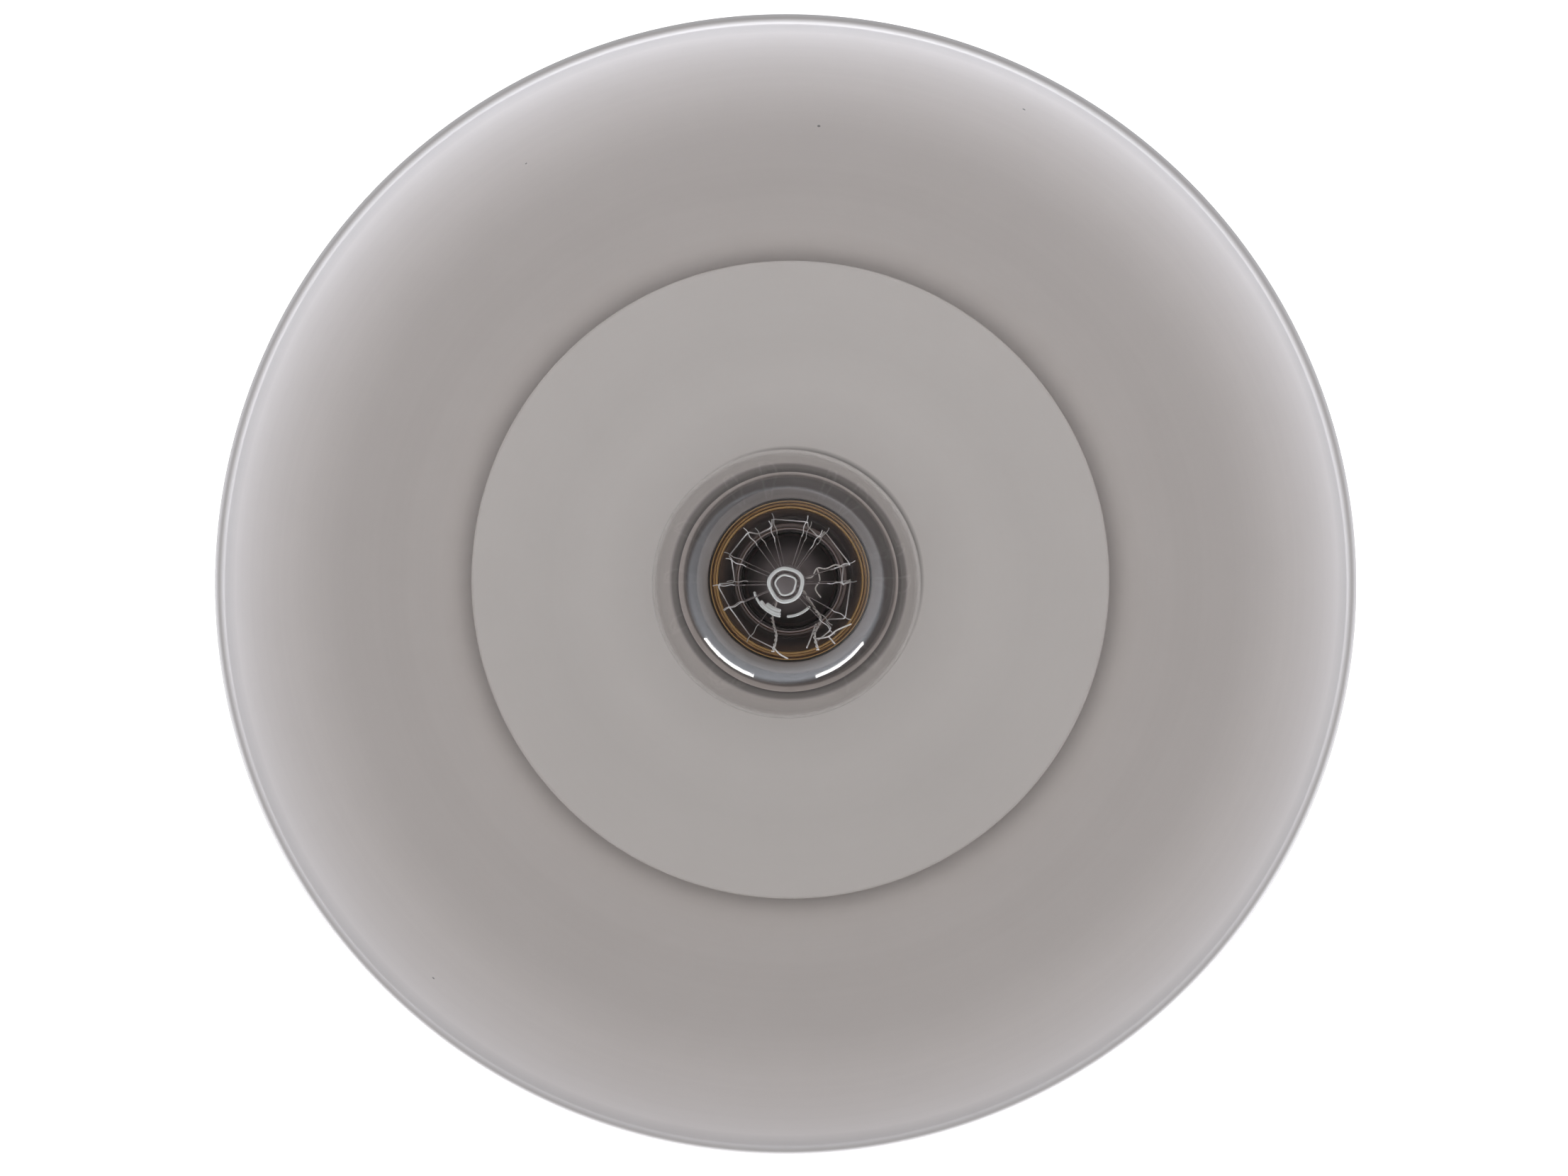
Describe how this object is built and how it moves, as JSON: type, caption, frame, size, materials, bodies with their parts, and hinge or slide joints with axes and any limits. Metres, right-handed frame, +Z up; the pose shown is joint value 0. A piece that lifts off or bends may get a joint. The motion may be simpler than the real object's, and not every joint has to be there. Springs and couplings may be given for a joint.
{
  "type": "pendant lamp",
  "caption": "Dome pendant lamp with a thin white metal shade, a flat inner reflector disc and a clear filament bulb screwed into a brass lampholder.",
  "frame": {"origin": "middle of the cord gland's top face, where the cord enters", "axes": "+Z up along the lamp's axis, so the shade and the bulb hang towards -Z; +Y is the upper side of the view from straight below"},
  "size_m": [0.2518, 0.2518, 0.169],
  "materials": {
    "shade_paint": "satin white paint",
    "disc_paint": "matt white paint",
    "ring_paint": "satin white paint",
    "fibre": "raw fibre",
    "holder_brass": "lacquered",
    "porcelain": "glazed porcelain",
    "nickel": "nickel plated",
    "contact_brass": "bare",
    "spring_steel": "bright",
    "plated_steel": "zinc plated",
    "clear_glass": "clear",
    "cap_brass": "bare",
    "black_glass": "glossy black glass",
    "solder": "dull solder",
    "carbon": "dark drawn wire",
    "support_wire": "oxidised",
    "lead_wire": "bright"
  },
  "bodies": {
    "pendant": {"shade_dome": "shade_paint", "cover_cup": "shade_paint", "cord_gland": "shade_paint", "upper_shade_ring": "ring_paint", "spacer_sleeve": "ring_paint", "crown_gasket": "fibre", "holder_skirt": "holder_brass", "holder_cap": "holder_brass", "contact_block": "porcelain", "screw_shell": "nickel", "shell_strap": "contact_brass", "contact_spring": "spring_steel", "terminal_clamp_live": "contact_brass", "terminal_clamp_neutral": "contact_brass", "terminal_screw_live": "plated_steel", "terminal_screw_neutral": "plated_steel", "threaded_nipple": "plated_steel", "lock_nut": "plated_steel", "gland_screw": "plated_steel"},
    "bulb_carriage": {"bulb_tip_contact": "solder"},
    "bulb": {"bulb_envelope": "clear_glass", "bulb_stem": "clear_glass", "bulb_button": "clear_glass", "bulb_cap_shell": "cap_brass", "bulb_cap_insulator": "black_glass", "filament": "carbon", "lower_supports": "support_wire", "upper_supports": "support_wire", "lead_wire_a": "lead_wire", "lead_wire_b": "lead_wire"},
    "disc": {"reflector_disc": "disc_paint"},
    "shade_ring": {"lower_shade_ring": "ring_paint"},
    "plunger": {"centre_contact": "contact_brass"}
  },
  "joints": [
    {"name": "bulb_travel", "type": "slide", "parent": "pendant", "child": "bulb_carriage", "axis": [0, 0, -1], "range_m": [0, 0.0164]},
    {"name": "bulb_turn", "type": "hinge", "parent": "bulb_carriage", "child": "bulb", "pos_m": [0, 0, -0.078], "axis": [0, 0, -1], "range_deg": [0, 1620]},
    {"name": "disc_travel", "type": "slide", "parent": "pendant", "child": "disc", "axis": [0, 0, -1], "range_m": [0, 0.00402]},
    {"name": "ring_turn", "type": "hinge", "parent": "disc", "child": "shade_ring", "pos_m": [0, 0, -0.089], "axis": [0, 0, -1], "range_deg": [0, 576]},
    {"name": "contact_press", "type": "slide", "parent": "pendant", "child": "plunger", "axis": [0, 0, 1], "range_m": [0, 0.0012], "stiffness_N_per_m": 1500, "deforming": ["contact_spring"]}
  ],
  "couplings": [
    {"joint": "bulb_travel", "follows": "bulb_turn", "m_per_rad": 0.00057757},
    {"joint": "disc_travel", "follows": "ring_turn", "m_per_rad": 0.00039789}
  ]
}
